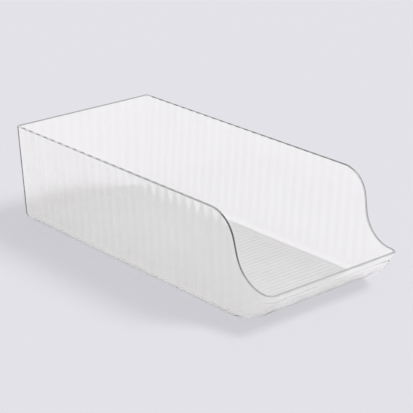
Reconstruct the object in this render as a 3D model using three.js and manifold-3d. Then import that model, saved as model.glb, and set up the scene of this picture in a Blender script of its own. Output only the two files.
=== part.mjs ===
// Fridge organizer: an open bin moulded in one piece of clear plastic.
// Its walls are fluted inside, its floor is cross-ribbed, and its front is scooped down to a low lip.
// Millimetres. X is the width, Y the length with the front at -Y, and Z is up from the shelf.
import * as THREE from "three";
import { mergeVertices } from "three/addons/utils/BufferGeometryUtils.js";
import Module from "manifold-3d";

const wasm = await Module();
wasm.setup();

// Driving dimensions of the bin
const length = 367; // lip tip to back rim
const width = 168; // across the two side rims
const height = 100; // shelf to rim
const lipHeight = 37; // shelf to front lip
const wall = 2.2; // thickness of every wall and of the floor

// Lean and rounding of the walls
const sideLean = 6; // how far each side wall leans in from rim to shelf
const backLean = 1.7; // the same for the back wall
const cornerRadius = 3; // upright corners, outside
const lipCornerRadius = 8; // outside, at the two front corners of the lip
const noseCornerRadius = 15; // what the front corners would open out to at the shelf, outside
const coveRadius = 7; // turn from wall to floor, outside

// Scooped cut in the side walls
const crestRadius = 30; // where the side rim starts to fall
const throatRadius = 34; // where it runs out into the lip
const throatSetback = 10; // lip tip back to where the throat's arc starts
const scoopLean = THREE.MathUtils.degToRad(12); // straight stretch between them, off upright

// Curved front wall
const noseRun = 52; // lip tip back to where the flat sole ends
const flareReach = 6.2; // how far the lip stands out past the waist
const flareHeight = 9; // waist up to the lip
const noseSoleShare = 0.46; // Bezier handle along the sole, of the run from sole to waist
const noseWaistShare = 0.43; // Bezier handle down from the waist, of the waist's height
const flareWaistShare = 0.4; // Bezier handle up from the waist, of the flare's height
const flareLipShare = 0.4; // Bezier handle back from the lip, of the flare's reach and height

// Flutes inside the walls and ribs across the floor
const flutePitch = 12;
const fluteDepth = 0.4;
const fluteRoot = 0.1; // pad under the flutes' valleys
const fluteMargin = 1; // plain strip beside each upright corner
const fluteLift = 1; // plain strip between the cove and the foot of the flutes
const cheekPlain = 35; // plain stretch of side wall behind the lip tip
const ribPitch = 5.8;
const ribDepth = 0.25;
const ribRoot = 0.1; // pad under the ribs' valleys
const ribMargin = 0.5; // plain strip between the ribs' ends and the side coves
const overrun = 5; // how far a cutting solid reaches past what it cuts

// Facets
const cornerSteps = 6;
const coveSteps = 8;
const noseSteps = 7;
const scoopSteps = 14;
const fluteSteps = 6;
const ribSteps = 4;
const halvings = 40; // in the search for a height on the front profile

// Places that follow from the sizes
const coveHalfWidth = width / 2 - sideLean - coveRadius; // edge of the flat sole, at the sides
const soleBack = length / 2 - backLean - coveRadius; // edge of the flat sole, at the back
const soleFront = -(length / 2 - noseRun); // edge of the flat sole, at the front
const waistHeight = lipHeight - flareHeight;
const waistY = -(length / 2 - flareReach);

// Turns a drawing in x and y that is extruded along z into one in y and z that is extruded across X.
const acrossX = new THREE.Matrix4().makeBasis(
  new THREE.Vector3(0, 1, 0),
  new THREE.Vector3(0, 0, 1),
  new THREE.Vector3(1, 0, 0),
);

// A closed geometry as a solid that can be joined and cut.
function solidOf(geometry) {
  const bare = geometry.clone();
  bare.deleteAttribute("normal");
  bare.deleteAttribute("uv");
  const merged = mergeVertices(bare);
  return new wasm.Manifold(
    new wasm.Mesh({
      numProp: 3,
      vertProperties: merged.attributes.position.array,
      triVerts: new Uint32Array(merged.index.array),
    }),
  );
}

// A solid back as a geometry for a mesh.
function geometryOf(solid) {
  const { vertProperties, triVerts } = solid.getMesh();
  const geometry = new THREE.BufferGeometry();
  geometry.setAttribute("position", new THREE.BufferAttribute(vertProperties, 3));
  geometry.setIndex(new THREE.BufferAttribute(triVerts, 1));
  geometry.computeVertexNormals();
  return geometry;
}

// The front wall's outer profile as (y, z): the sole curls up to an upright waist, then flares out to the lip.
const nose = new THREE.CurvePath();
nose.add(
  new THREE.CubicBezierCurve(
    new THREE.Vector2(soleFront, 0),
    new THREE.Vector2(soleFront + (waistY - soleFront) * noseSoleShare, 0),
    new THREE.Vector2(waistY, waistHeight * (1 - noseWaistShare)),
    new THREE.Vector2(waistY, waistHeight),
  ),
);
nose.add(
  new THREE.CubicBezierCurve(
    new THREE.Vector2(waistY, waistHeight),
    new THREE.Vector2(waistY, waistHeight + flareHeight * flareWaistShare),
    new THREE.Vector2(-length / 2 + flareReach * flareLipShare, lipHeight - flareHeight * flareLipShare),
    new THREE.Vector2(-length / 2, lipHeight),
  ),
);

// A point of the front profile, set in from the outer skin along its normal.
function nosePoint(t, inset) {
  const tangent = nose.getTangent(t);
  return nose.getPoint(t).add(new THREE.Vector2(tangent.y, -tangent.x).multiplyScalar(inset));
}

// Where the front profile lies at a height.
function noseAt(z, inset) {
  let low = 0;
  let high = 1;
  for (let i = 0; i < halvings; i++) {
    const middle = (low + high) / 2;
    if (nosePoint(middle, inset).y < z) low = middle;
    else high = middle;
  }
  return nosePoint(high, inset).x;
}

// One level outline: a rectangle with round corners, drawn anticlockwise.
// tuck is how far it is drawn in from the leaning outer walls.
function outline(z, tuck, inset) {
  const lean = 1 - z / height;
  const side = width / 2 - sideLean * lean - tuck;
  const back = length / 2 - backLean * lean - tuck;
  const front = noseAt(Math.min(z, lipHeight), inset);
  const opening = 1 - Math.min(z, lipHeight) / lipHeight;
  const heel = cornerRadius - inset;
  const toe = lipCornerRadius + (noseCornerRadius - lipCornerRadius) * opening - tuck;
  const corners = [
    [side - heel, back - heel, heel],
    [-side + heel, back - heel, heel],
    [-side + toe, front + toe, toe],
    [side - toe, front + toe, toe],
  ];
  return corners.flatMap(([x, y, radius], quarter) =>
    Array.from({ length: cornerSteps + 1 }, (_, i) => {
      const angle = ((quarter + i / cornerSteps) * Math.PI) / 2;
      return [x + radius * Math.cos(angle), y + radius * Math.sin(angle), z];
    }),
  );
}

// The closed solid inside one skin of the bin, from its floor up to top.
function skin(inset, top) {
  const levels = [];
  const turn = coveRadius - inset;
  for (let i = 0; i <= coveSteps; i++) {
    const angle = ((i / coveSteps) * Math.PI) / 2;
    levels.push(outline(coveRadius - turn * Math.cos(angle), coveRadius - turn * Math.sin(angle), inset));
  }
  for (let i = 1; i <= noseSteps; i++)
    levels.push(outline(coveRadius + ((lipHeight - coveRadius) * i) / noseSteps, inset, inset));
  levels.push(outline(top, inset, inset));
  const count = levels[0].length;
  const index = [];
  for (let j = 0; j + 1 < levels.length; j++)
    for (let i = 0; i < count; i++) {
      const [a, b] = [j * count + i, j * count + ((i + 1) % count)];
      index.push(a, b, b + count, a, b + count, a + count);
    }
  const last = (levels.length - 1) * count;
  for (let i = 1; i + 1 < count; i++) index.push(0, i + 1, i, last, last + i, last + i + 1);
  const geometry = new THREE.BufferGeometry();
  geometry.setAttribute("position", new THREE.Float32BufferAttribute(levels.flat(2), 3));
  geometry.setIndex(index);
  return solidOf(geometry);
}

// A strip with a waved face, lying along +X from 0, its waves rising towards +Y, extruded to depth along +Z.
function wavedStrip(count, pitch, steps, root, rise, depth) {
  const shape = new THREE.Shape();
  shape.moveTo(0, -wall / 2);
  shape.lineTo(count * pitch, -wall / 2);
  for (let i = count * steps; i >= 0; i--) {
    const wave = (1 - Math.cos((2 * Math.PI * i) / steps)) / 2;
    shape.lineTo((i * pitch) / steps, root + rise * wave);
  }
  shape.closePath();
  return new THREE.ExtrudeGeometry(shape, { depth, bevelEnabled: false });
}

// Flutes that stand on one wall. The strip is stood above the cove, leant with the wall and turned to it.
function flutes(run, reach, lean, turn, shift) {
  const foot = coveRadius + fluteLift;
  const count = Math.floor(run / flutePitch);
  const strip = wavedStrip(count, flutePitch, fluteSteps, fluteRoot, fluteDepth, height - foot);
  const leaning = new THREE.Matrix4().set(1, 0, 0, 0, 0, 1, -lean / height, 0, 0, 0, 1, 0, 0, 0, 0, 1);
  const innerSkin = reach - lean * (1 - foot / height) - wall;
  strip.translate(-(count * flutePitch) / 2, 0, 0);
  strip.applyMatrix4(leaning);
  strip.translate(shift, -innerSkin, foot);
  strip.rotateZ(turn);
  return solidOf(strip);
}

function sideFlutes(turn) {
  const back = length / 2 - backLean - cornerRadius - fluteMargin;
  const front = -(length / 2 - cheekPlain);
  const middle = (back + front) / 2;
  return flutes(back - front, width / 2, sideLean, turn, turn > 0 ? middle : -middle);
}

function backFlutes() {
  const run = width - 2 * (sideLean + cornerRadius + fluteMargin);
  return flutes(run, length / 2, backLean, Math.PI, 0);
}

// Ribs across the flat of the floor.
function floorRibs() {
  const run = soleBack - soleFront;
  const count = Math.floor(run / ribPitch);
  const reach = coveHalfWidth - ribMargin;
  const strip = wavedStrip(count, ribPitch, ribSteps, ribRoot, ribDepth, 2 * reach);
  strip.translate(-(count * ribPitch) / 2, 0, -reach);
  strip.applyMatrix4(acrossX);
  strip.translate(0, (soleBack + soleFront) / 2, wall);
  return solidOf(strip);
}

// What the scoop cuts away above and in front of the falling rim.
function scoop() {
  const radii = crestRadius + throatRadius;
  const drop = height - lipHeight;
  const straight = (drop - radii * (1 - Math.sin(scoopLean))) / Math.cos(scoopLean);
  const throatY = -(length / 2 - throatSetback);
  const crestY = throatY + radii * Math.cos(scoopLean) + straight * Math.sin(scoopLean);
  const shape = new THREE.Shape();
  shape.moveTo(crestY, height + overrun);
  shape.lineTo(crestY, height);
  shape.absarc(crestY, height - crestRadius, crestRadius, Math.PI / 2, Math.PI - scoopLean, false);
  shape.absarc(throatY, lipHeight + throatRadius, throatRadius, -scoopLean, -Math.PI / 2, true);
  shape.lineTo(-length / 2 - overrun, lipHeight);
  shape.lineTo(-length / 2 - overrun, height + overrun);
  shape.closePath();
  const prism = new THREE.ExtrudeGeometry(shape, {
    depth: width + 2 * overrun,
    bevelEnabled: false,
    curveSegments: scoopSteps,
  });
  prism.translate(0, 0, -width / 2 - overrun);
  prism.applyMatrix4(acrossX);
  return solidOf(prism);
}

// The whole moulding.
const moulding = skin(0, height)
  .subtract(skin(wall, height + overrun))
  .add(sideFlutes(Math.PI / 2))
  .add(sideFlutes(-Math.PI / 2))
  .add(backFlutes())
  .add(floorRibs())
  .subtract(scoop());

// Its regions, each a block of space between the planes where the flat sole ends and the coves stop.
const outX = width / 2 + overrun;
const outY = length / 2 + overrun;
const bottom = -overrun;
const top = height + overrun;
const middleX = [-coveHalfWidth, coveHalfWidth];
const leftX = [-outX, -coveHalfWidth];
const rightX = [coveHalfWidth, outX];
const frontY = [-outY, soleFront];
const middleY = [soleFront, soleBack];
const backY = [soleBack, outY];
const lowZ = [bottom, coveRadius];
const highZ = [coveRadius, top];
const fullZ = [bottom, top];
const regions = {
  floor_panel: [middleX, middleY, fullZ],
  left_floor_cove: [leftX, middleY, lowZ],
  right_floor_cove: [rightX, middleY, lowZ],
  back_floor_cove: [middleX, backY, lowZ],
  left_side_wall: [leftX, middleY, highZ],
  right_side_wall: [rightX, middleY, highZ],
  back_wall: [middleX, backY, highZ],
  back_left_corner: [leftX, backY, fullZ],
  back_right_corner: [rightX, backY, fullZ],
  front_wall: [middleX, frontY, fullZ],
  left_scoop_cheek: [leftX, frontY, fullZ],
  right_scoop_cheek: [rightX, frontY, fullZ],
};

function block([x0, x1], [y0, y1], [z0, z1]) {
  const box = new THREE.BoxGeometry(x1 - x0, y1 - y0, z1 - z0);
  box.translate((x0 + x1) / 2, (y0 + y1) / 2, (z0 + z1) / 2);
  return solidOf(box);
}

const organizer = new THREE.Group();
for (const [name, [x, y, z]] of Object.entries(regions)) {
  const clearPlastic = new THREE.MeshStandardMaterial({
    color: 0xf0f0f2,
    roughness: 0.08,
    metalness: 0,
    transparent: true,
    opacity: 0.35,
  });
  const mesh = new THREE.Mesh(geometryOf(moulding.intersect(block(x, y, z))), clearPlastic);
  mesh.name = name;
  organizer.add(mesh);
}

export default organizer;
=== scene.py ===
# %% [markdown]
# # A clear fluted fridge bin
# The object is a long open bin for a fridge shelf, moulded in one shot of clear plastic.
# Its side and back walls carry upright flutes inside, its floor is crossed by fine ribs,
# and both side walls sweep down at the front to a low lip where a hand can reach in.
# In the frame it is packed as plain solids, and this lesson dresses them as one seamless skin.

# %% Load the frame
import math

import bpy
from mathutils import Matrix, Vector


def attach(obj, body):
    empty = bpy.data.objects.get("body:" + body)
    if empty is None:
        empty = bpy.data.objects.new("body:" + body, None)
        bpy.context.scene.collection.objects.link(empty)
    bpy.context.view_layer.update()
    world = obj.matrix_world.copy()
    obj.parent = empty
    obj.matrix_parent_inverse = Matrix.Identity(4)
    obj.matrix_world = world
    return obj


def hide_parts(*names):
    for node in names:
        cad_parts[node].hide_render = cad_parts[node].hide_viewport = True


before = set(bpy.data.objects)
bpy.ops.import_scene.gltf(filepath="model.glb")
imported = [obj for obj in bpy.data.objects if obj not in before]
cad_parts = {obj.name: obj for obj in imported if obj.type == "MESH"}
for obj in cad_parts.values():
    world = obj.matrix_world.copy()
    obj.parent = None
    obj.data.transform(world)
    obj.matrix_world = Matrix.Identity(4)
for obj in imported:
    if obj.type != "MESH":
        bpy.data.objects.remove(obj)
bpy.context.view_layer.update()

mm_in_metre = 1000


# %% [markdown]
# ## Sizes
# A moulded bin is drawn from few numbers: its outer size, one wall thickness, how far the walls
# lean so that the bin leaves its mould, and the radii where they turn. They could be measured
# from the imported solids, but a maker's drawing states them, so they are stated here in metres.

# %% Sizes of the bin
length, width, height = 0.367, 0.168, 0.1
lip_height = 0.037
wall = 0.0022
side_lean = 0.006  # how far each side comes in from rim to floor
back_lean = 0.0017  # the same for the back
corner_radius = 0.003
lip_corner_radius = 0.008
nose_corner_radius = 0.015
cove_radius = 0.007
crest_radius = 0.03
throat_radius = 0.034
throat_setback = 0.01  # from the lip back to where the scoop starts to rise
scoop_lean = math.radians(12)  # of its straight, from upright
nose_run = 0.052  # from the lip back to where the floor is flat
flare_reach = 0.0062  # from the upright waist out to the lip
flare_height = 0.009  # from the waist up to the lip
flute_pitch = 0.012
flute_depth = 0.00018
flute_margin = 0.001  # the least plain strip beside a corner
cheek_plain = 0.035  # the plain end of a side wall, under the scoop
rib_pitch = 0.0058
rib_depth = 0.00016
rib_margin = 0.0005  # the least plain strip at the ends of the floor
print("Length, width, height, mm:", [round(s * mm_in_metre) for s in (length, width, height)])

# %% [markdown]
# ## The front profile
# Seen from the side, the floor curls up into the front wall, stands upright for a moment and then
# flares out to the lip. A toolmaker draws this as one smooth line, and so does a curve object
# with three points and their handles. The shell's node tree will slide along this path, so the
# path is the object that carries the tree. A mesh profile would need many more points to be as
# smooth.

# %% Front profile as a path
waist_height = lip_height - flare_height
waist_y = -(length / 2 - flare_reach)
sole_front = -(length / 2 - nose_run)
# How far each handle reaches along its stretch, as a share of it
curl_pull, waist_pull, flare_pull = 0.46, 0.57, 0.4
lip_y = -length / 2
path_points = [
    # point (y, z), handle before it, handle after it
    ((sole_front, 0), (sole_front, 0), (sole_front + (waist_y - sole_front) * curl_pull, 0)),
    (
        (waist_y, waist_height),
        (waist_y, waist_height * waist_pull),
        (waist_y, waist_height + flare_height * flare_pull),
    ),
    (
        (lip_y, lip_height),
        (lip_y + flare_reach * flare_pull, lip_height - flare_height * flare_pull),
        (lip_y, lip_height),
    ),
]
steps_per_stretch = 64
path = bpy.data.curves.new("front_profile", "CURVE")
path.dimensions = "3D"
path.resolution_u = steps_per_stretch
spline = path.splines.new("BEZIER")
spline.bezier_points.add(len(path_points) - 1)
for knot, (point, before, after) in zip(spline.bezier_points, path_points):
    knot.handle_left_type = knot.handle_right_type = "FREE"
    knot.co = (0, *point)
    knot.handle_left = (0, *before)
    knot.handle_right = (0, *after)
drawing = bpy.data.objects.new("shell_drawing", path)
bpy.context.scene.collection.objects.link(drawing)
print(f"A path through {len(spline.bezier_points)} points")

# %% [markdown]
# ## Measuring the path
# The tree finds a point on the path by its share of the whole length, so it has to know at which
# share the wall is upright and where the rounding of the lip starts. The script adds up short
# steps along the same curves. The rounding starts half a wall below the lip, and because the
# inner skin lies on the other side of a flaring wall, it starts there at another share.


# %% Shares of the path
def curve_point(a, b, c, d, t):
    """The point at t, from 0 to 1, on the stretch from a to d with handles b and c."""
    s = 1 - t
    near_end, far_end = Vector(a) * s**3, Vector(d) * t**3
    return near_end + Vector(b) * 3 * s * s * t + Vector(c) * 3 * s * t * t + far_end


def stretch(first, samples=400):
    """Points along the path from one of its three points to the next."""
    (a, _, b), (d, c, _) = path_points[first], path_points[first + 1]
    return [curve_point(a, b, c, d, i / samples) for i in range(samples + 1)]


def run_of(points):
    """Length of the way through all the points."""
    return sum((q - p).length for p, q in zip(points, points[1:]))


curl, flare = stretch(0), stretch(1)
path_run = run_of(curl) + run_of(flare)
waist_share = run_of(curl) / path_run


def lip_share(set_in):
    """Share of the path where the rim's rounding starts, for a skin this far inside."""
    rounding_height = lip_height - wall / 2
    for i in range(1, len(flare)):
        heading = (flare[i] - flare[i - 1]).normalized()
        if flare[i].y - heading.x * set_in >= rounding_height:
            return (run_of(curl) + run_of(flare[: i + 1])) / path_run
    return 1.0


lip_share_outside, lip_share_inside = lip_share(0), lip_share(wall)
print(f"The path is {path_run * mm_in_metre:.1f} mm long, the waist at {waist_share:.3f} of it")
print(f"The rounding starts at {lip_share_outside:.3f} outside and {lip_share_inside:.3f} inside")

# %% [markdown]
# ## Algebra with nodes
# The shell is a shape with a rule: every point follows from where it is around the bin and where
# it is along the section of the wall. In Geometry Nodes such a rule is a chain of Math nodes, and
# long chains are hard to read as links. A small class lets the script write them as formulas.
# Each plus, minus and times below still makes one ordinary Math node.


# %% Node formulas
class Field:
    """A number that varies over the mesh, held as a node's output."""

    def __init__(self, tree, socket):
        self.tree, self.socket = tree, socket

    def op(self, operation, *values, clamp=False):
        """Makes one Math node, with numbers typed in and fields linked."""
        node = self.tree.nodes.new("ShaderNodeMath")
        node.operation = operation
        node.use_clamp = clamp
        for socket, value in zip(node.inputs, values):
            if isinstance(value, Field):
                self.tree.links.new(value.socket, socket)
            else:
                socket.default_value = value
        return Field(self.tree, node.outputs[0])

    def __add__(self, other):
        return self.op("ADD", self, other)

    def __radd__(self, other):
        return self.op("ADD", other, self)

    def __sub__(self, other):
        return self.op("SUBTRACT", self, other)

    def __rsub__(self, other):
        return self.op("SUBTRACT", other, self)

    def __mul__(self, other):
        return self.op("MULTIPLY", self, other)

    def __rmul__(self, other):
        return self.op("MULTIPLY", other, self)

    def __truediv__(self, other):
        return self.op("DIVIDE", self, other)

    def __neg__(self):
        return self.op("MULTIPLY", self, -1)


print("Plus, minus, times and divided by now make nodes")

# %% [markdown]
# ## Words for the formulas
# A few operations come back in every rule: a sine, the larger of two numbers, a ramp from 0 to 1.
# Each could be typed as a Math node where it is needed. With a plain word for each, a formula
# further down reads like a note on a drawing.


# %% Words for the formulas
def sine(f):
    return f.op("SINE", f)


def cosine(f):
    return f.op("COSINE", f)


def square_root(f):
    """The square root, and 0 where f is below 0."""
    return f.op("SQRT", f.op("MAXIMUM", f, 0))


def least(f, other):
    return f.op("MINIMUM", f, other)


def most(f, other):
    return f.op("MAXIMUM", f, other)


def size_of(f):
    """f without its sign."""
    return f.op("ABSOLUTE", f)


def above(f, other):
    """1 where f is greater, and 0 elsewhere."""
    return f.op("GREATER_THAN", f, other)


def within(f, low, high):
    return most(least(f, high), low)


def ramp(f, start, run):
    """0 before start, 1 after start + run, straight between."""
    return f.op("MULTIPLY_ADD", f, 1 / run, -start / run, clamp=True)


def part_way(a, b, share):
    """a where the share is 0, b where it is 1, and between them in proportion."""
    return a + (b - a) * share


def steady(share):
    """Eases a straight share in and out."""
    return share * share * (3 - 2 * share)


print("Shares of 0, a quarter and a half, eased:", [steady(share) for share in (0, 0.25, 0.5)])

# %% [markdown]
# ## One skin from a grid
# A moulding like this is one closed skin: out along the underside, up the outside, over the rim,
# down the inside and back along the floor. The tree bends one flat grid into that skin. Its rows
# run along the section, and its columns run around the bin. Each stretch of the section gets as
# many rows as its bend needs.

# %% Rows along the section
rows = dict(sole=3, curl=20, rise=8, rim=8, fall=8, uncurl=20, floor=7)


def starts_of(counts):
    """Where each named stretch starts, and how long all are together."""
    starts, total = {}, 0
    for name, count in counts.items():
        starts[name] = total
        total += count
    return starts, total


row_start, row_steps = starts_of(rows)
row_count = row_steps + 1
print(f"{row_count} rows:", rows)

# %% [markdown]
# ## Counting flutes and ribs
# Nobody lists the places of flutes and ribs on a drawing. It says how far they are apart, and as
# many are moulded as fit, centred between two plain strips. The script counts them the same way,
# so a longer bin gets more of them and not wider ones.

# %% Flutes and ribs that fit
side_front = -(length / 2 - cheek_plain)
side_back = length / 2 - back_lean - corner_radius - flute_margin
side_flutes = math.floor((side_back - side_front) / flute_pitch)
side_middle = (side_front + side_back) / 2
first_flute = side_middle - side_flutes * flute_pitch / 2
last_flute = side_middle + side_flutes * flute_pitch / 2
back_flutes = math.floor((width - 2 * (side_lean + corner_radius + flute_margin)) / flute_pitch)
back_half = back_flutes * flute_pitch / 2

sole_back = length / 2 - back_lean - cove_radius
rib_count = math.floor((sole_back - sole_front - 2 * rib_margin) / rib_pitch)
rib_middle = (sole_front + sole_back) / 2
first_rib = rib_middle - rib_count * rib_pitch / 2
last_rib = rib_middle + rib_count * rib_pitch / 2

print(f"{side_flutes} flutes on each side, {back_flutes} on the back and {rib_count} ribs")

# %% [markdown]
# ## Columns
# The columns could be spread evenly, but then ripples would be sampled out of step and shimmer in
# the highlights. So each flute gets the same twelve, and the plain strips and the corners between
# them get a few of their own. Seen from above, the legs run up the right side and on around.

# %% Columns around the bin
flute_columns, cheek_columns, heel_columns, bend_columns, edge_columns = 12, 30, 6, 8, 3
side_columns = cheek_columns + side_flutes * flute_columns + heel_columns
end_columns = 2 * edge_columns + back_flutes * flute_columns
legs = dict(
    right_side=side_columns,
    back_right=bend_columns,
    back=end_columns,
    back_left=bend_columns,
    left_side=side_columns,
    front_left=bend_columns,
    front=end_columns,
    front_right=bend_columns,
)
column_start, column_steps = starts_of(legs)
column_count = column_steps + 1
print(f"{column_count} columns:", legs)

# %% [markdown]
# ## Named inputs
# The tree's group inputs carry the sizes, so the same tree could make a longer bin or a finer
# flute from the modifier panel. A modifier keeps an input under its identifier and not under its
# name, so the identifiers are noted while the inputs are made and the values are set with them.

# %% The tree and its inputs
tree = bpy.data.node_groups.new("fluted_bin_shell", "GeometryNodeTree")
tree.interface.new_socket("Geometry", in_out="INPUT", socket_type="NodeSocketGeometry")
tree.interface.new_socket("Geometry", in_out="OUTPUT", socket_type="NodeSocketGeometry")
input_values = {
    "Length": length,
    "Width": width,
    "Height": height,
    "Lip Height": lip_height,
    "Wall": wall,
    "Side Lean": side_lean,
    "Back Lean": back_lean,
    "Corner Radius": corner_radius,
    "Lip Corner Radius": lip_corner_radius,
    "Nose Corner Radius": nose_corner_radius,
    "Cove Radius": cove_radius,
    "Crest Radius": crest_radius,
    "Throat Radius": throat_radius,
    "Throat Setback": throat_setback,
    "Scoop Lean": scoop_lean,
    "Waist Height": waist_height,
    "Waist Share": waist_share,
    "Lip Share Outside": lip_share_outside,
    "Lip Share Inside": lip_share_inside,
    "Flute Pitch": flute_pitch,
    "Flute Depth": flute_depth,
    "First Flute": first_flute,
    "Last Flute": last_flute,
    "Back Flutes Half Run": back_half,
    "Rib Pitch": rib_pitch,
    "Rib Depth": rib_depth,
    "First Rib": first_rib,
    "Last Rib": last_rib,
}
identifiers = {}
for name, value in input_values.items():
    socket = tree.interface.new_socket(name, in_out="INPUT", socket_type="NodeSocketFloat")
    socket.default_value = value
    identifiers[name] = socket.identifier
socket = tree.interface.new_socket("Plastic", in_out="INPUT", socket_type="NodeSocketMaterial")
identifiers["Plastic"] = socket.identifier

group_in = tree.nodes.new("NodeGroupInput")
group_out = tree.nodes.new("NodeGroupOutput")


def given(name):
    """One of the group's inputs, ready for a formula."""
    return Field(tree, group_in.outputs[name])


print(f"The tree has {len(identifiers)} inputs")

# %% [markdown]
# ## Where a point is on the grid
# The grid is one unit between neighbours, so a point's own position already tells its row and its
# column. Ramps turn those into shares of each stretch: how far up the curl, how far over the rim,
# how far round a corner. Going back down the inside is the same ramp taken away again.

# %% Shares along the section and around the bin
grid = tree.nodes.new("GeometryNodeMeshGrid")
grid.inputs["Size X"].default_value = row_steps
grid.inputs["Size Y"].default_value = column_steps
grid.inputs["Vertices X"].default_value = row_count
grid.inputs["Vertices Y"].default_value = column_count
spot = tree.nodes.new("GeometryNodeInputPosition")
split = tree.nodes.new("ShaderNodeSeparateXYZ")
tree.links.new(spot.outputs[0], split.inputs[0])
row = Field(tree, split.outputs[0]) + row_steps / 2
column = Field(tree, split.outputs[1]) + column_steps / 2


def along(stretch_name):
    """0 before a stretch of the section, 1 after it."""
    return ramp(row, row_start[stretch_name], rows[stretch_name])


def passed(leg):
    """0 before a leg of the way around the bin, 1 after it."""
    return ramp(column, column_start[leg], legs[leg])


curl_share = along("curl") - along("uncurl")
rise_share = steady(steady(along("rise") - along("fall")))
over_rim = along("rim") * math.pi
edge_share = along("sole") - along("floor")
# Steps along the sides are counted from the front, and steps along the ends from the right
side_step = (passed("right_side") - passed("left_side")) * side_columns
end_step = (passed("back") - passed("front")) * end_columns
quarter_turn = math.pi / 2
corners_passed = (
    passed("back_right") + passed("back_left") + passed("front_left") + passed("front_right")
)
turned = corners_passed * quarter_turn
inset = given("Wall") * (1 - cosine(over_rim)) / 2
inside = inset / given("Wall")
print(f"The shares take {len(tree.nodes)} nodes")

# %% [markdown]
# ## The section
# The height of a row comes from the front path, slid along by the shares and pushed in along its
# own normal for the inner skin. Below the top of the cove the walls tuck in on a circle, and all
# four walls share that height, which is what keeps the turn to the floor even all round.


# %% Height, tuck and the front wall
def on_path(share):
    """Height and y on the front path at a share of it, set in by the skin's inset."""
    sample = tree.nodes.new("GeometryNodeSampleCurve")
    sample.mode = "FACTOR"
    tree.links.new(group_in.outputs["Geometry"], sample.inputs["Curves"])
    tree.links.new(share.socket, sample.inputs["Factor"])
    parts = []
    for output in ("Position", "Tangent"):
        node = tree.nodes.new("ShaderNodeSeparateXYZ")
        tree.links.new(sample.outputs[output], node.inputs[0])
        parts += [Field(tree, node.outputs[1]), Field(tree, node.outputs[2])]
    y, z, run_y, run_z = parts
    return z - run_y * inset, y + run_z * inset


lip_end = part_way(given("Lip Share Outside"), given("Lip Share Inside"), inside)
path_share = curl_share * given("Waist Share") + rise_share * (lip_end - given("Waist Share"))
level, front_wall = on_path(path_share)
top_level, top_front = on_path(lip_end)
above_waist, full_rise = level - given("Waist Height"), top_level - given("Waist Height")
lifted = ramp(rise_share, 0, 1) * above_waist / full_rise

skin_cove = given("Cove Radius") - inset
below_cove = most(given("Cove Radius") - level, 0)
tuck = given("Cove Radius") - square_root(skin_cove * skin_cove - below_cove * below_cove)
lowness = below_cove / given("Cove Radius")


def nose_radius_at(height_up, drawn_in):
    """Plan radius of the front corners, which open out towards the shelf."""
    opening = most(1 - height_up / given("Lip Height"), 0)
    widening = given("Nose Corner Radius") - given("Lip Corner Radius")
    return given("Lip Corner Radius") + widening * opening - drawn_in


at_front = 1 - ramp(side_step, 0, 1)
heel_radius = given("Corner Radius") - inset
nose_radius = nose_radius_at(level, tuck)
radius = part_way(heel_radius, nose_radius, at_front)
print(f"With the section, {len(tree.nodes)} nodes")

# %% [markdown]
# ## The scooped rim
# The side rim falls in a convex arc, a straight and a concave arc. The cut could be a boolean, but
# that leaves ragged triangles exactly where the eye follows the bright rim. Here every column is
# simply stretched up to the falling line, a half wall short of it, and the rounded rim closes the
# rest along the line's own normal.

# %% Height of the rim over each column
half_wall = given("Wall") / 2
lean_sine, lean_cosine = sine(given("Scoop Lean")), cosine(given("Scoop Lean"))
throat_y = given("Throat Setback") - given("Length") / 2
both_radii = given("Crest Radius") + given("Throat Radius")
drop = given("Height") - given("Lip Height")
straight = (drop - both_radii * (1 - lean_sine)) / lean_cosine
crest_y = throat_y + both_radii * lean_cosine + straight * lean_sine
crest_z = given("Height") - given("Crest Radius")
throat_z = given("Lip Height") + given("Throat Radius")
crest_r = given("Crest Radius") - half_wall
throat_r = given("Throat Radius") + half_wall


def rim_at(y):
    """Height of the rim's rounding over y, and the y and z of its outward normal."""
    over = least(y - crest_y, 0)
    under = most(y - throat_y, 0)
    crest = crest_z + square_root(crest_r * crest_r - over * over)
    throat = throat_z - square_root(throat_r * throat_r - under * under)
    crest_end = crest_y - crest_r * lean_cosine
    line = crest_z + crest_r * lean_sine + (y - crest_end) * lean_cosine / lean_sine
    rim = part_way(throat, line, above(under, throat_r * lean_cosine))
    rim = part_way(rim, crest, above(y, crest_end))
    normal_y = most(
        most(over / crest_r, -lean_cosine),
        -least(under / throat_r, lean_cosine),
    )
    return rim, normal_y, square_root(1 - normal_y * normal_y)


crest_mm, throat_mm = (round(r * mm_in_metre) for r in (crest_radius, throat_radius))
print(f"The scoop turns down on a {crest_mm} mm arc and out on a {throat_mm} mm arc")

# %% [markdown]
# ## Around the bin
# Columns run up one side, across the back, down the other side and across the front, with a
# quarter circle at each corner. They are first placed along the rim, where the bin is longest,
# and the rim's line over each of them gives the height of every row below it.


# %% Columns along the rim
def spread(step, first, middle, last, plain_start, flutes, plain_end):
    """Slides from first through two middle marks to last, by counted steps."""
    near, far = middle
    there = first + (near - first) * ramp(step, 0, plain_start)
    there = there + (far - near) * ramp(step, plain_start, flutes)
    return there + (last - far) * ramp(step, plain_start + flutes, plain_end)


rim_front = top_front + nose_radius_at(top_level, inset)
rim_back = given("Length") / 2 - inset - heel_radius
rim_y = spread(
    side_step,
    rim_front,
    (given("First Flute"), given("Last Flute")),
    rim_back,
    cheek_columns,
    side_flutes * flute_columns,
    heel_columns,
)
rim, rim_normal_y, rim_normal_z = rim_at(rim_y + radius * sine(turned))
z = least(level, given("Waist Height")) + lifted * (rim - given("Waist Height"))
print(f"With the rim, {len(tree.nodes)} nodes")

# %% [markdown]
# ## Leaning walls
# The real walls lean out so that the bin leaves its mould, and they tuck in towards the floor. If
# every row were stretched evenly between the front and the back, the flutes on the sides would
# slant. So the columns stand still where the flutes are, and the slack from the leaning back wall
# and the curling front wall is taken up in the plain strips at either end.

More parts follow.
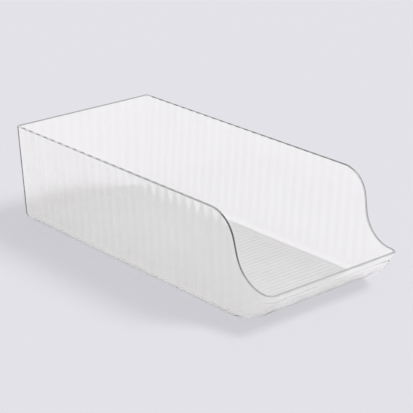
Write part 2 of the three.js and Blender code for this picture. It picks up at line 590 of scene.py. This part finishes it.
# %% Place of each column
plain_run = 0.004  # the least plain strip behind a front corner
flat_share = 0.93  # the most of the back's flat half that flutes take
away = 1 - z / given("Height")
side_centre = given("Width") / 2 - given("Side Lean") * away - tuck - radius
back_centre = given("Length") / 2 - given("Back Lean") * away - tuck - heel_radius
front_centre = front_wall + nose_radius
settle = lowness * nose_run
front_mark = most(given("First Flute") + settle, front_centre + plain_run)
back_mark = given("Last Flute") - settle
front_slack = (front_centre - rim_front) * within(
    (front_mark - rim_y) / (front_mark - rim_front), 0, 1
)
back_slack = (back_centre - rim_back) * within((rim_y - back_mark) / (rim_back - back_mark), 0, 1)
end_mark = least(given("Back Flutes Half Run"), side_centre * flat_share)
x = spread(
    end_step,
    side_centre,
    (end_mark, -end_mark),
    -side_centre,
    edge_columns,
    back_flutes * flute_columns,
    edge_columns,
)
y = rim_y + front_slack + back_slack + radius * sine(turned)
x = x + radius * cosine(turned)
print(f"With the walls, {len(tree.nodes)} nodes")

# %% [markdown]
# ## Closing the floor
# The last rows, under the bin and inside it, run from the edge of the flat floor to a line down
# its middle. Both halves meet on that line and are welded there, which closes the skin with plain
# quads and no crowded pole in sight.

# %% Floor rows
off_edge = 1 - edge_share
ring_share = 1 - off_edge * off_edge * off_edge
spine_y = within(y, front_centre, back_centre)
x = x * ring_share
y = spine_y + (y - spine_y) * ring_share
print(f"{rows['sole']} rows close the underside and {rows['floor']} the floor above it")

# %% [markdown]
# ## Flutes and ribs
# Reeded plastic is a row of shallow rounded columns. They stand proud of the inner skin only,
# because the outside of such a bin is polished smooth so that it slides on the shelf. Each flute
# is the arch of a sine, and it fades out over a few millimetres above the cove. Those on the
# back wall are drawn twice as high, because they show more. The floor's ribs are finer waves
# across the width that stop just short of the coves.

# %% Ripples on the inner skin
fade_run = 0.006
back_gain = 2
rib_end_run = 0.0015


def arch(travel, pitch):
    """A row of smooth bumps, one to each pitch."""
    wave = cosine(travel / pitch * (2 * math.pi))
    return (1 - wave) / 2


rising = steady(within((z - given("Cove Radius")) / fade_run, 0, 1))
flute = given("Flute Depth") * inside * rising
from_first_flute = within(y, given("First Flute"), given("Last Flute")) - given("First Flute")
side_bump = arch(from_first_flute, given("Flute Pitch"))
half_run = given("Back Flutes Half Run")
back_bump = arch(within(x, -half_run, half_run) + half_run, given("Flute Pitch"))
at_back = ramp(side_step, side_columns - 1, 1)
facing = ramp(end_step, 0, end_columns) * 2 - 1
x_fluted = x + facing * flute * side_bump * (1 - at_back)
y_fluted = y - back_gain * flute * back_bump * at_back

flat_end = side_centre + radius - rib_end_run
on_flat = within((flat_end - size_of(x)) / rib_end_run, 0, 1)
from_first_rib = within(y, given("First Rib"), given("Last Rib")) - given("First Rib")
rib_bump = arch(from_first_rib, given("Rib Pitch"))
z_ribbed = z + given("Rib Depth") * rib_bump * on_flat * inside * above(along("floor"), 0)
print(f"Flutes {flute_depth * mm_in_metre:.2f} mm high, ribs {rib_depth * mm_in_metre:.2f} mm")

# %% [markdown]
# ## The rounded rim
# The rim is the wall's edge, rounded over by half a wall along the rim's own normal. A bevel
# could round a sharp edge afterwards, but the closely packed columns would hold it back. Here the
# inset already swings from one skin to the other as a half circle, and the sine of the same angle
# gives the height of the rounding.

# %% Rim shape
crown = sine(over_rim)
crown_height = crown * half_wall
y_final = y_fluted + crown_height * rim_normal_y
z_final = z_ribbed + crown_height * rim_normal_z
print(f"The rim is rounded by {wall / 2 * mm_in_metre:.1f} mm")

# %% [markdown]
# ## Painted light and shade on the rim
# On the real bin the rim is the one part that reads as a drawn line, because light that entered
# the wall runs up inside it and comes out again here. A renderer loses that light after some
# bounces, so the edge's colour paints that light and its shade in: painted shade on its dark lines
# and dashes, painted light on its light parts. Two numbers on the mesh hold it: how much of the
# painted colour covers the clear plastic (its body), and how light it is. Both could be painted in
# a texture, but the rim's own shares already say where each point is.

# %% Painted light and shade on the rim
# The two ends of the rim's tone: 0 is painted shade, 1 is painted light
dark_end, light_end = 0.0, 1.0
# Where each change starts and how far it runs: twice as a share of the scoop's drop, then of the
# wall, and at last in metres towards the back
top_share, top_fade = 0.02, 0.08
low_share, low_fade = 0.65, 0.35
inner_from, inner_fade = 0.45, 0.3
back_from, back_fade = -0.15, 0.25
fall_from_top = (given("Height") - rim) / (given("Height") - given("Lip Height"))
level_rim = 1 - ramp(fall_from_top, top_share, top_fade)
low_rim = ramp(fall_from_top, low_share, low_fade)
inner_side = ramp(inside, inner_from, inner_fade)
to_back = ramp(y, back_from, back_fade)
bump_here = part_way(side_bump, 1, at_back)


def by_side(outer, inner):
    """One value on the outer part of the rounding and another on the inner part."""
    return outer + (inner - outer) * inner_side


# On the level rim each flute makes a dash of painted shade, and the dashes close up towards the
# front.
dash_painted_shade, front_painted_shade, gap_body = 0.3, 0.35, 0.3
full_body, side_body, back_body = 0.95, 0.9, 0.65
# The lip's thin line is painted shade as well
lip_painted_shade, lip_body = 0.45, 0.8
rim_gain = 2.5  # how soon the body is full, going up the rounding
dash = part_way(light_end, dash_painted_shade, bump_here)
# On the level rim the inner half of the rounding is painted shade
level_painted_tone = part_way(part_way(front_painted_shade, dash, to_back), dark_end, inner_side)
dashed_body = part_way(1, part_way(gap_body, 1, bump_here), to_back)
level_body = by_side(full_body, part_way(side_body, back_body, at_back) * dashed_body)
# On the scoop the outer half of the rounding is painted shade and the inner half painted light
scoop_painted_tone, scoop_body = by_side(dark_end, light_end), by_side(0.0, full_body)
on_rim = least(crown * rim_gain, 1)
edge_body = part_way(part_way(scoop_body, level_body, level_rim), lip_body, low_rim)
edge_painted_tone = part_way(part_way(scoop_painted_tone, level_painted_tone, level_rim), lip_painted_shade, low_rim)
print(f"The level rim keeps {full_body:.0%} of body, the lip {lip_body:.0%}")

# %% [markdown]
# ## Haze, and painted shade on the flutes
# The same two numbers carry the wall's faint haze, which the plastic has. It is stronger on a
# flute's crest and weaker between two, and that part is painted shade: it greys the crests, so the
# flutes show as faint bands of light and shade and the eye can count them on the far wall. An even
# haze would only grey the walls.

# %% Haze of the wall and painted shade on its flutes
haze, haze_tone, flute_shade_contrast = 0.03, 0.9, 0.65
flute_crest = part_way(side_bump, back_bump, at_back)
# Even haze, with painted shade added on the flutes' crests
haze_and_flute_shade = haze * (1 + flute_shade_contrast * (2 * flute_crest - 1) * rising * inside)
rim_body = part_way(haze_and_flute_shade, edge_body, on_rim)
# Off the rim the tone is the haze's own colour; on the rim it is the painted light and shade
haze_and_painted_rim_tone = part_way(haze_tone, edge_painted_tone, on_rim)
print(f"The wall keeps {haze:.0%} of haze, more or less by {flute_shade_contrast:.0%} on the flutes")

# %% [markdown]
# ## From grid to moulding
# The finished coordinates move the grid's points, a weld joins the seam and the middle line, and
# the faces are shaded smooth. The rim's body and tone, which carry the painted light and shade, are
# stored on the points, where the finish can read them. Realize Instances and Set Material come
# last, because the exported model keeps neither instances nor a missing finish.

# %% Build the shell tree
weld_reach = 0.000008
where = tree.nodes.new("ShaderNodeCombineXYZ")
for field, socket in zip((x_fluted, y_final, z_final), where.inputs):
    tree.links.new(field.socket, socket)

mesh_so_far = grid.outputs["Mesh"]
for name, field in (("rim_body", rim_body), ("haze_and_painted_rim_tone", haze_and_painted_rim_tone)):
    store = tree.nodes.new("GeometryNodeStoreNamedAttribute")
    store.data_type = "FLOAT"
    store.domain = "POINT"
    store.inputs["Name"].default_value = name
    tree.links.new(mesh_so_far, store.inputs["Geometry"])
    tree.links.new(field.socket, store.inputs["Value"])
    mesh_so_far = store.outputs["Geometry"]

move = tree.nodes.new("GeometryNodeSetPosition")
tree.links.new(mesh_so_far, move.inputs["Geometry"])
tree.links.new(where.outputs[0], move.inputs["Position"])

weld = tree.nodes.new("GeometryNodeMergeByDistance")
weld.inputs["Distance"].default_value = weld_reach
tree.links.new(move.outputs["Geometry"], weld.inputs["Geometry"])

outward = tree.nodes.new("GeometryNodeFlipFaces")
tree.links.new(weld.outputs["Geometry"], outward.inputs["Mesh"])

smooth = tree.nodes.new("GeometryNodeSetShadeSmooth")
tree.links.new(outward.outputs["Mesh"], smooth.inputs["Geometry"])

realize = tree.nodes.new("GeometryNodeRealizeInstances")
tree.links.new(smooth.outputs["Geometry"], realize.inputs["Geometry"])
finish_node = tree.nodes.new("GeometryNodeSetMaterial")
tree.links.new(realize.outputs["Geometry"], finish_node.inputs["Geometry"])
tree.links.new(group_in.outputs["Plastic"], finish_node.inputs["Material"])
tree.links.new(finish_node.outputs["Geometry"], group_out.inputs["Geometry"])
print(f"{len(tree.nodes)} nodes in the tree")

# %% [markdown]
# ## Clear plastic
# The bin is a hard clear plastic. Such plastics bend light much as glass does, with an index of
# 1.5 to 1.6, and a 2 mm wall of them has hardly a tint. It is never perfectly clear, so the wall
# keeps the faint haze stored on the mesh, with painted shade on the flutes, and the rim mixes from
# painted shade to painted light by its tone. A plain glass shader would show neither the haze nor
# the rim.

# %% Clear plastic
refraction = 1.5
clear_tint = (0.985, 0.985, 0.98, 1)
# Painted shade and painted light for the rim's lines and dashes
rim_painted_shade, rim_painted_light = (0.08, 0.065, 0.07, 1), (0.97, 0.96, 0.97, 1)
plastic = bpy.data.materials.new("clear_plastic")
plastic.use_nodes = True
nodes, links = plastic.node_tree.nodes, plastic.node_tree.links
surface = nodes["Principled BSDF"]
surface.inputs["IOR"].default_value = refraction


def stored(name):
    """Reads one of the numbers kept on the mesh."""
    node = nodes.new("ShaderNodeAttribute")
    node.attribute_name = name
    return node.outputs["Fac"]


def colour_mix(factor, a, b):
    """Mixes two colours, each a plain colour or a node's output."""
    node = nodes.new("ShaderNodeMix")
    node.data_type = "RGBA"
    links.new(factor, node.inputs["Factor"])
    for value, socket in ((a, node.inputs["A"]), (b, node.inputs["B"])):
        if isinstance(value, tuple):
            socket.default_value = value
        else:
            links.new(value, socket)
    return node.outputs["Result"]


body = stored("rim_body")
# The rim's painted shade and painted light, mixed by its tone
painted_rim_colour = colour_mix(stored("haze_and_painted_rim_tone"), rim_painted_shade, rim_painted_light)
links.new(colour_mix(body, clear_tint, painted_rim_colour), surface.inputs["Base Color"])
clearness = nodes.new("ShaderNodeMath")
clearness.operation = "SUBTRACT"
clearness.inputs[0].default_value = 1
links.new(body, clearness.inputs[1])
links.new(clearness.outputs[0], surface.inputs["Transmission Weight"])
print(f"Plastic with index {refraction}")

# %% [markdown]
# ## Uneven polish
# A mould's polish is not quite even, and the plastic shrinks a little from it as it cools, which
# leaves soft patches in the gloss. One roughness for all of it would look like glass. A noise on
# the object's own coordinates moves the roughness a little, so the patches stay on the bin when
# it is turned.

# %% Patches in the gloss
patches_per_metre, patch_detail = 45, 3
patch_low, patch_high = 0.35, 0.65
polish_best, polish_worst = 0.05, 0.12
place_on_bin = nodes.new("ShaderNodeTexCoord")
flow = nodes.new("ShaderNodeTexNoise")
flow.inputs["Scale"].default_value = patches_per_metre
flow.inputs["Detail"].default_value = patch_detail
links.new(place_on_bin.outputs["Object"], flow.inputs["Vector"])
polish = nodes.new("ShaderNodeMapRange")
polish.inputs["From Min"].default_value = patch_low
polish.inputs["From Max"].default_value = patch_high
polish.inputs["To Min"].default_value = polish_best
polish.inputs["To Max"].default_value = polish_worst
links.new(flow.outputs["Fac"], polish.inputs["Value"])
links.new(polish.outputs["Result"], surface.inputs["Roughness"])
print(f"Roughness from {polish_best} to {polish_worst}")

# %% [markdown]
# ## From tree to mesh
# The path object gets the tree as a modifier, every input is set by its identifier, and the result
# is copied into a mesh of its own. The path and its modifier have then done their work and go, so
# the finished bin is one plain object that stands at the origin, unrotated and unscaled.

# %% Evaluate the tree
shaping = drawing.modifiers.new("shell", "NODES")
shaping.node_group = tree
for name, value in input_values.items():
    shaping[identifiers[name]] = value
shaping[identifiers["Plastic"]] = plastic
bpy.context.view_layer.update()
evaluated = drawing.evaluated_get(bpy.context.evaluated_depsgraph_get())
shell_mesh = bpy.data.meshes.new_from_object(evaluated)
drawing.modifiers.remove(shaping)
bpy.data.objects.remove(drawing)
shell = bpy.data.objects.new("bin_shell", shell_mesh)
bpy.context.scene.collection.objects.link(shell)
print(f"{len(shell_mesh.vertices)} points and {len(shell_mesh.polygons)} faces")

# %% [markdown]
# ## The bin takes the place of the solids
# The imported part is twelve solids, which are regions of one moulding: walls, coves, corners, the
# floor and the scooped front. The real bin has no seams between them, so one skin stands for all
# of them. Nothing on it moves, so it rides on the only body there is.

# %% Ride and replace
solids = sorted(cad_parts)
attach(shell, "root")
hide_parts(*solids)
print(f"One skin replaces {len(solids)} solids")

# %% [markdown]
# ## The paper
# The bin stands on seamless paper of a pale lavender grey that fills the picture. Part of that
# tone is the paper's own, so the shadow stays as light as a studio's fill leaves it, and the rest
# is lit and takes the shadow. What is seen through the plastic or mirrored in it is a little
# whiter, as if white cards stood close to the bin. A Light Path node tells which kind of ray asks.


# %% Paper floor
def mirrored_or_bent(shader_tree):
    """1 for rays that come by way of the plastic, mirrored in it or bent through it."""
    rays = shader_tree.nodes.new("ShaderNodeLightPath")
    either = shader_tree.nodes.new("ShaderNodeMath")
    either.operation = "MAXIMUM"
    shader_tree.links.new(rays.outputs["Is Glossy Ray"], either.inputs[0])
    shader_tree.links.new(rays.outputs["Is Transmission Ray"], either.inputs[1])
    return either.outputs[0]


paper_colour, paper_roughness = (0.776, 0.768, 0.815, 1), 0.9
own_tone, own_strength, own_share = (0.76, 0.752, 0.798, 1), 1, 0.62
seen_through, through_strength, through_share = (1, 0.98, 0.985, 1), 1.09, 0.48
reach, below_bin = 6, 0.0003  # half its width, and a hair's gap under the bin
paper_corners = [(-reach, -reach, 0), (reach, -reach, 0), (reach, reach, 0), (-reach, reach, 0)]
floor_mesh = bpy.data.meshes.new("studio_floor")
floor_mesh.from_pydata(paper_corners, [], [(0, 1, 2, 3)])
floor = bpy.data.objects.new("studio_floor", floor_mesh)
floor.location.z = -below_bin
bpy.context.scene.collection.objects.link(floor)
paper = bpy.data.materials.new("studio_paper")
paper.use_nodes = True
nodes, links = paper.node_tree.nodes, paper.node_tree.links
sheet = nodes["Principled BSDF"]
sheet.inputs["Base Color"].default_value = paper_colour
sheet.inputs["Roughness"].default_value = paper_roughness
seen_directly = nodes.new("ShaderNodeLightPath").outputs["Is Camera Ray"]
look = sheet.outputs[0]
for kind_of_ray, colour, strength, share in (
    (seen_directly, own_tone, own_strength, own_share),
    (mirrored_or_bent(paper.node_tree), seen_through, through_strength, through_share),
):
    steady_tone = nodes.new("ShaderNodeEmission")
    steady_tone.inputs["Color"].default_value = colour
    steady_tone.inputs["Strength"].default_value = strength
    amount = nodes.new("ShaderNodeMath")
    amount.operation = "MULTIPLY"
    amount.inputs[1].default_value = share
    links.new(kind_of_ray, amount.inputs[0])
    blend = nodes.new("ShaderNodeMixShader")
    links.new(amount.outputs[0], blend.inputs[0])
    links.new(look, blend.inputs[1])
    links.new(steady_tone.outputs[0], blend.inputs[2])
    look = blend.outputs[0]
links.new(look, nodes["Material Output"].inputs["Surface"])
floor_mesh.materials.append(paper)
print(f"Paper {2 * reach} m wide, {own_share:.0%} of its tone its own")

# %% [markdown]
# ## Light
# The photo is lit from all round, with one soft lamp at the right and a little in front, which
# throws the pale shadow to the left. An even white world is the fill, about twice as strong where
# the plastic mirrors or bends it, and a sun with a wide disc is the lamp. The sun is kept out of
# reflections and refractions: a studio lamp behind a diffuser leaves no hard glint on the bin.

# %% Light
white = (1, 1, 1, 1)
fill_strength, mirrored_strength = 0.48, 0.95
lamp_strength, lamp_disc = 2.1, math.radians(22)
lamp_tilt, lamp_heading = math.radians(38), math.radians(53)
world = bpy.data.worlds.new("studio")
bpy.context.scene.world = world
world.use_nodes = True
nodes, links = world.node_tree.nodes, world.node_tree.links
sky = nodes["Background"]
sky.inputs["Color"].default_value = white
fill = nodes.new("ShaderNodeMapRange")
fill.inputs["To Min"].default_value = fill_strength
fill.inputs["To Max"].default_value = mirrored_strength
links.new(mirrored_or_bent(world.node_tree), fill.inputs["Value"])
links.new(fill.outputs["Result"], sky.inputs["Strength"])

sun = bpy.data.lights.new("soft_key", "SUN")
sun.energy = lamp_strength
sun.angle = lamp_disc
sun_object = bpy.data.objects.new("soft_key", sun)
sun_object.rotation_euler = (lamp_tilt, 0, lamp_heading)
sun_object.visible_glossy = sun_object.visible_transmission = False
bpy.context.scene.collection.objects.link(sun_object)
print(f"Fill {fill_strength}, lamp {lamp_strength}, its disc {math.degrees(lamp_disc):.0f} degrees")

# %% [markdown]
# ## Camera
# The camera was fitted to the photo: it looks at the bin's left side and front from about 21
# degrees up. Its place is given as a heading and a height angle around the bin, a distance, a
# slight roll, and two small slides that put the bin where it is in the frame.

# %% Camera
azimuth, elevation, roll = math.radians(-41.2634), math.radians(20.9679), math.radians(0.3166)
distance, slide_right, slide_up = 1.482155, 0.005526, 0.043321
focal_pixels, frame_pixels, sensor = 1533.80, 413, 36
back = Vector(
    (
        math.sin(azimuth) * math.cos(elevation),
        -math.cos(azimuth) * math.cos(elevation),
        math.sin(elevation),
    )
)
level_right = Vector((math.cos(azimuth), math.sin(azimuth), 0))
level_up = back.cross(level_right)
camera = bpy.data.cameras.new("photo_camera")
camera.sensor_width = sensor
camera.lens = focal_pixels / frame_pixels * sensor
camera_object = bpy.data.objects.new("photo_camera", camera)
right = level_right * math.cos(roll) + level_up * math.sin(roll)
up = level_up * math.cos(roll) - level_right * math.sin(roll)
place = back * distance + level_right * slide_right + level_up * slide_up
turn_matrix = Matrix((right, up, back)).transposed().to_4x4()
camera_object.matrix_world = Matrix.Translation(place) @ turn_matrix
bpy.context.scene.collection.objects.link(camera_object)
bpy.context.scene.camera = camera_object
bpy.context.scene.view_settings.view_transform = "Standard"
print("Camera at, mm:", [round(c * mm_in_metre) for c in place])
